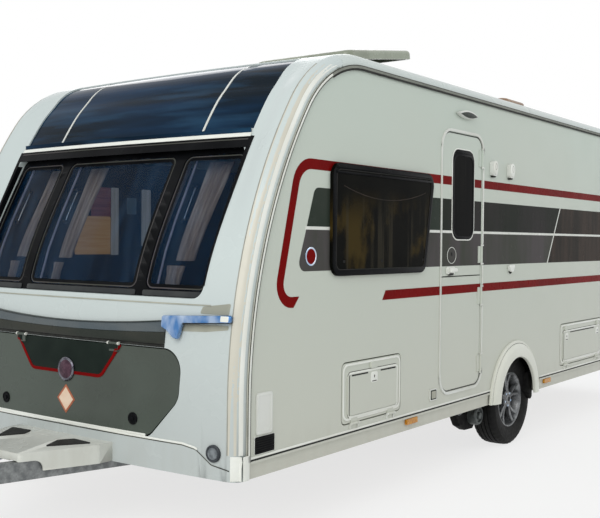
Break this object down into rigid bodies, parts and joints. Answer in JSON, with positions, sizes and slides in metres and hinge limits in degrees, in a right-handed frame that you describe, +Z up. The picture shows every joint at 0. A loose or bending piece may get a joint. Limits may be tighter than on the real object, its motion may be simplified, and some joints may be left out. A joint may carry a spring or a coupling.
{
  "type": "travel caravan",
  "caption": "Single-axle touring caravan with a bowed front, a stable door, opening lockers and rooflights, a braked drawbar, jockey wheel and corner steadies.",
  "frame": {"origin": "on the ground, midway along the overall length and on the centre line", "axes": "+X to the coupling, +Y to the side with the door, +Z up"},
  "size_m": [7.37, 2.35, 2.6635],
  "materials": {
    "white_moulding": "gloss white moulded panel",
    "side_panel": "satin off-white sandwich panel",
    "floor_board": "coated plywood",
    "black_trim": "matt black plastic",
    "tinted_acrylic": "dark tinted acrylic",
    "locker_grey": "satin grey-green moulding",
    "band_grey": "two-tone grey moulding",
    "chrome_trim": "polished chrome",
    "clear_lens": "clear lens",
    "amber_lens": "amber lens",
    "red_lens": "red lens",
    "white_plastic": "white plastic",
    "skirt_alloy": "painted aluminium skirt",
    "rail_alloy": "dark anodised rail",
    "galvanised_steel": "hot-dip galvanised",
    "tyre": "black tyre rubber",
    "bright_alloy": "silver lacquered alloy",
    "wheel_rubber": "solid black rubber",
    "smoked_dome": "opal acrylic"
  },
  "bodies": {
    "caravan": {"awning_lamp": "clear_lens", "awning_rails": "rail_alloy", "axle": "galvanised_steel", "chassis_rails": "galvanised_steel", "coupling": "galvanised_steel", "cross_members": "galvanised_steel", "drawbar": "galvanised_steel", "drawbar_fairing": "white_moulding", "fairing_treads": "wheel_rubber", "floor_panel": "floor_board", "front_lamps": "clear_lens", "front_wall": "white_moulding", "front_window_frame": "black_trim", "front_windows": "tinted_acrylic", "gas_locker_box": "floor_board", "grab_band": "band_grey", "grab_handles": "chrome_trim", "handbrake": "black_trim", "hinge_pins": "white_plastic", "jockey_tube": "galvanised_steel", "overrun_housing": "galvanised_steel", "rear_bumper": "white_moulding", "rear_lamps": "red_lens", "rear_wall": "white_moulding", "rear_window": "tinted_acrylic", "roof_panel": "white_moulding", "rooflight_kerbs": "white_plastic", "side_markers": "amber_lens", "side_skirts": "skirt_alloy", "side_wall_left": "side_panel", "side_wall_right": "side_panel", "side_windows_left": "tinted_acrylic", "side_windows_right": "tinted_acrylic", "sky_windows": "tinted_acrylic", "steady_brackets": "galvanised_steel", "wall_fittings": "white_plastic", "wheel_boxes": "black_trim", "wheel_spats": "white_moulding"},
    "wheel_left": {"tyre_left": "tyre", "rim_left": "bright_alloy"},
    "wheel_right": {"tyre_right": "tyre", "rim_right": "bright_alloy"},
    "upper_door": {"door_upper": "side_panel", "door_window": "tinted_acrylic", "door_handle": "white_plastic"},
    "lower_door": {"door_lower": "side_panel"},
    "gas_locker_lid": {"gas_locker_lid": "locker_grey"},
    "locker_lid_left": {"locker_lid_left": "side_panel"},
    "locker_lid_right": {"locker_lid_right": "side_panel"},
    "service_hatch": {"service_hatch": "side_panel"},
    "rooflight_lid_big": {"rooflight_lid_big": "smoked_dome"},
    "rooflight_lid_small": {"rooflight_lid_small": "smoked_dome"},
    "jockey_stem": {"jockey_stem": "galvanised_steel"},
    "jockey_fork": {"jockey_fork": "galvanised_steel"},
    "jockey_wheel": {"jockey_wheel": "wheel_rubber"},
    "steady_front_left": {"steady_front_left": "galvanised_steel"},
    "steady_front_right": {"steady_front_right": "galvanised_steel"},
    "steady_rear_left": {"steady_rear_left": "galvanised_steel"},
    "steady_rear_right": {"steady_rear_right": "galvanised_steel"}
  },
  "joints": [
    {"name": "wheel_left_spin", "type": "hinge", "parent": "caravan", "child": "wheel_left", "pos_m": [-0.72, 0.986, 0.325], "axis": [0, 1, 0], "continuous": true},
    {"name": "wheel_right_spin", "type": "hinge", "parent": "caravan", "child": "wheel_right", "pos_m": [-0.72, -0.986, 0.325], "axis": [0, 1, 0], "continuous": true},
    {"name": "upper_door_hinge", "type": "hinge", "parent": "caravan", "child": "upper_door", "pos_m": [-0.058, 1.139, 1.7], "axis": [0, 0, 1], "range_deg": [0, 160]},
    {"name": "lower_door_hinge", "type": "hinge", "parent": "caravan", "child": "lower_door", "pos_m": [-0.058, 1.139, 0.9], "axis": [0, 0, 1], "range_deg": [0, 160]},
    {"name": "gas_locker_hinge", "type": "hinge", "parent": "caravan", "child": "gas_locker_lid", "pos_m": [2.44735, 0, 0.942], "axis": [0, -1, 0], "range_deg": [0, 75]},
    {"name": "locker_left_hinge", "type": "hinge", "parent": "caravan", "child": "locker_lid_left", "pos_m": [1.265, 1.139, 0.49], "axis": [-1, 0, 0], "range_deg": [0, 110]},
    {"name": "locker_right_hinge", "type": "hinge", "parent": "caravan", "child": "locker_lid_right", "pos_m": [1.265, -1.139, 0.49], "axis": [1, 0, 0], "range_deg": [0, 110]},
    {"name": "service_hatch_hinge", "type": "hinge", "parent": "caravan", "child": "service_hatch", "pos_m": [-1.965, 1.139, 0.49], "axis": [-1, 0, 0], "range_deg": [0, 110]},
    {"name": "rooflight_big_hinge", "type": "hinge", "parent": "caravan", "child": "rooflight_lid_big", "pos_m": [1.132, 0.515, 2.5], "axis": [0, 1, 0], "range_deg": [-9, 35]},
    {"name": "rooflight_small_hinge", "type": "hinge", "parent": "caravan", "child": "rooflight_lid_small", "pos_m": [-0.998, 0.675, 2.5], "axis": [0, 1, 0], "range_deg": [0, 50]},
    {"name": "jockey_lift", "type": "slide", "parent": "caravan", "child": "jockey_stem", "axis": [0, 0, 1], "range_m": [0, 0.09]},
    {"name": "jockey_swivel", "type": "hinge", "parent": "jockey_stem", "child": "jockey_fork", "pos_m": [3.12, -0.19508, 0.2], "axis": [0, 0, 1], "continuous": true},
    {"name": "jockey_spin", "type": "hinge", "parent": "jockey_fork", "child": "jockey_wheel", "pos_m": [3.12, -0.19508, 0.1], "axis": [0, 1, 0], "continuous": true},
    {"name": "steady_front_left_hinge", "type": "hinge", "parent": "caravan", "child": "steady_front_left", "pos_m": [1.7, 0.85, 0.372], "axis": [0, -1, 0], "range_deg": [0, 52]},
    {"name": "steady_front_right_hinge", "type": "hinge", "parent": "caravan", "child": "steady_front_right", "pos_m": [1.7, -0.85, 0.372], "axis": [0, -1, 0], "range_deg": [0, 52]},
    {"name": "steady_rear_left_hinge", "type": "hinge", "parent": "caravan", "child": "steady_rear_left", "pos_m": [-3.33, 0.85, 0.372], "axis": [0, 1, 0], "range_deg": [0, 52]},
    {"name": "steady_rear_right_hinge", "type": "hinge", "parent": "caravan", "child": "steady_rear_right", "pos_m": [-3.33, -0.85, 0.372], "axis": [0, 1, 0], "range_deg": [0, 52]}
  ]
}
